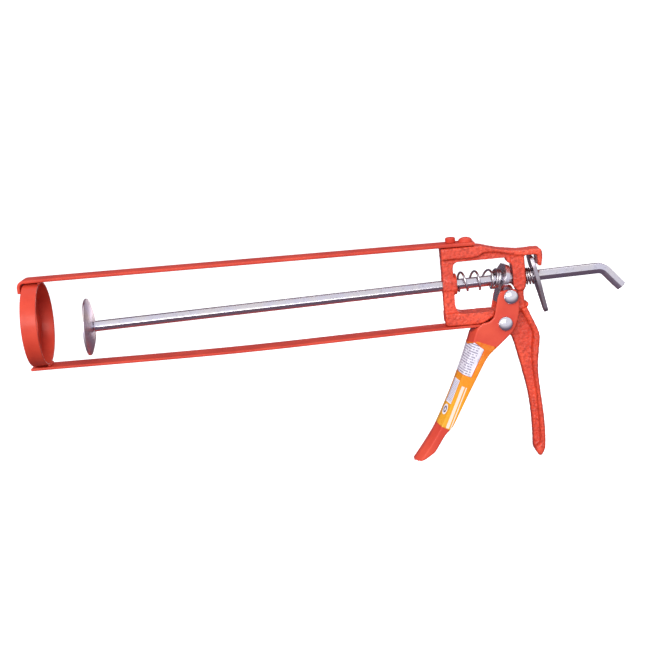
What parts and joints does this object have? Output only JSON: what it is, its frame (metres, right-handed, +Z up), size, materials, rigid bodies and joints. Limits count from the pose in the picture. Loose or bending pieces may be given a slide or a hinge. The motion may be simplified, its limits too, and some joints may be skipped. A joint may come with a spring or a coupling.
{
  "type": "caulking gun",
  "caption": "Skeleton caulking gun with a hexagonal push rod, a dished plunger, a squeeze trigger and a release plate.",
  "frame": {"origin": "middle of the base of the bounding box, under the frame's axis", "axes": "+X along the cartridge axis from the ring to the handle, +Y to the tool's right-hand side, +Z up, the handle pointing down"},
  "size_m": [0.3819, 0.0536, 0.1454],
  "materials": {
    "red_paint": "gloss red enamel on steel strip",
    "cast_paint": "gloss red enamel on a rough die casting",
    "trigger_paint": "gloss red enamel on pressed steel",
    "zinc_plate": "bright zinc plate",
    "spring_steel": "bright drawn wire",
    "label_film": "printed film, orange fading to yellow",
    "sticker_paper": "white coated paper with faint grey lines"
  },
  "bodies": {
    "frame": {"front_ring": "red_paint", "top_strap": "red_paint", "bottom_strap": "red_paint", "body_casting": "cast_paint", "top_strap_stud": "red_paint", "top_strap_rivet": "red_paint", "bottom_strap_rivet_front": "red_paint", "bottom_strap_rivet_rear": "red_paint", "trigger_pivot_rivet": "zinc_plate", "drive_spring": "spring_steel", "release_spring": "spring_steel"},
    "push_rod": {"push_rod": "zinc_plate"},
    "plunger": {"plunger_disc": "zinc_plate", "plunger_washer": "zinc_plate"},
    "trigger": {"trigger": "trigger_paint", "drive_rivet": "zinc_plate", "drive_roller": "zinc_plate", "grip_label": "label_film", "info_sticker": "sticker_paper"},
    "drive_plate": {"drive_plate": "zinc_plate"},
    "release_plate": {"release_plate": "zinc_plate"}
  },
  "joints": [
    {"name": "rod_slide", "type": "slide", "parent": "frame", "child": "push_rod", "axis": [0.9997, 0, 0.0247], "range_m": [-0.032, 0.22]},
    {"name": "plunger_spin", "type": "hinge", "parent": "push_rod", "child": "plunger", "pos_m": [-0.15158, 0, 0.10911], "axis": [0.9997, 0, 0.0247], "continuous": true},
    {"name": "trigger_squeeze", "type": "hinge", "parent": "frame", "child": "trigger", "pos_m": [0.11232, 0, 0.08881], "axis": [0, -1, 0], "range_deg": [0, 28], "stiffness_Nm_per_rad": 0.35, "springref_deg": -34.38},
    {"name": "drive_plate_slide", "type": "slide", "parent": "frame", "child": "drive_plate", "axis": [-0.9997, 0, -0.0247], "range_m": [0, 0.0084], "deforming": ["drive_spring"]},
    {"name": "release_plate_pivot", "type": "hinge", "parent": "frame", "child": "release_plate", "pos_m": [0.13422, 0, 0.12441], "axis": [0, 1, 0], "range_deg": [0, 10], "stiffness_Nm_per_rad": 0.04, "springref_deg": -34.38, "deforming": ["release_spring"]}
  ],
  "couplings": [
    {"joint": "drive_plate_slide", "follows": "trigger_squeeze", "m_per_rad": 0.0171}
  ]
}
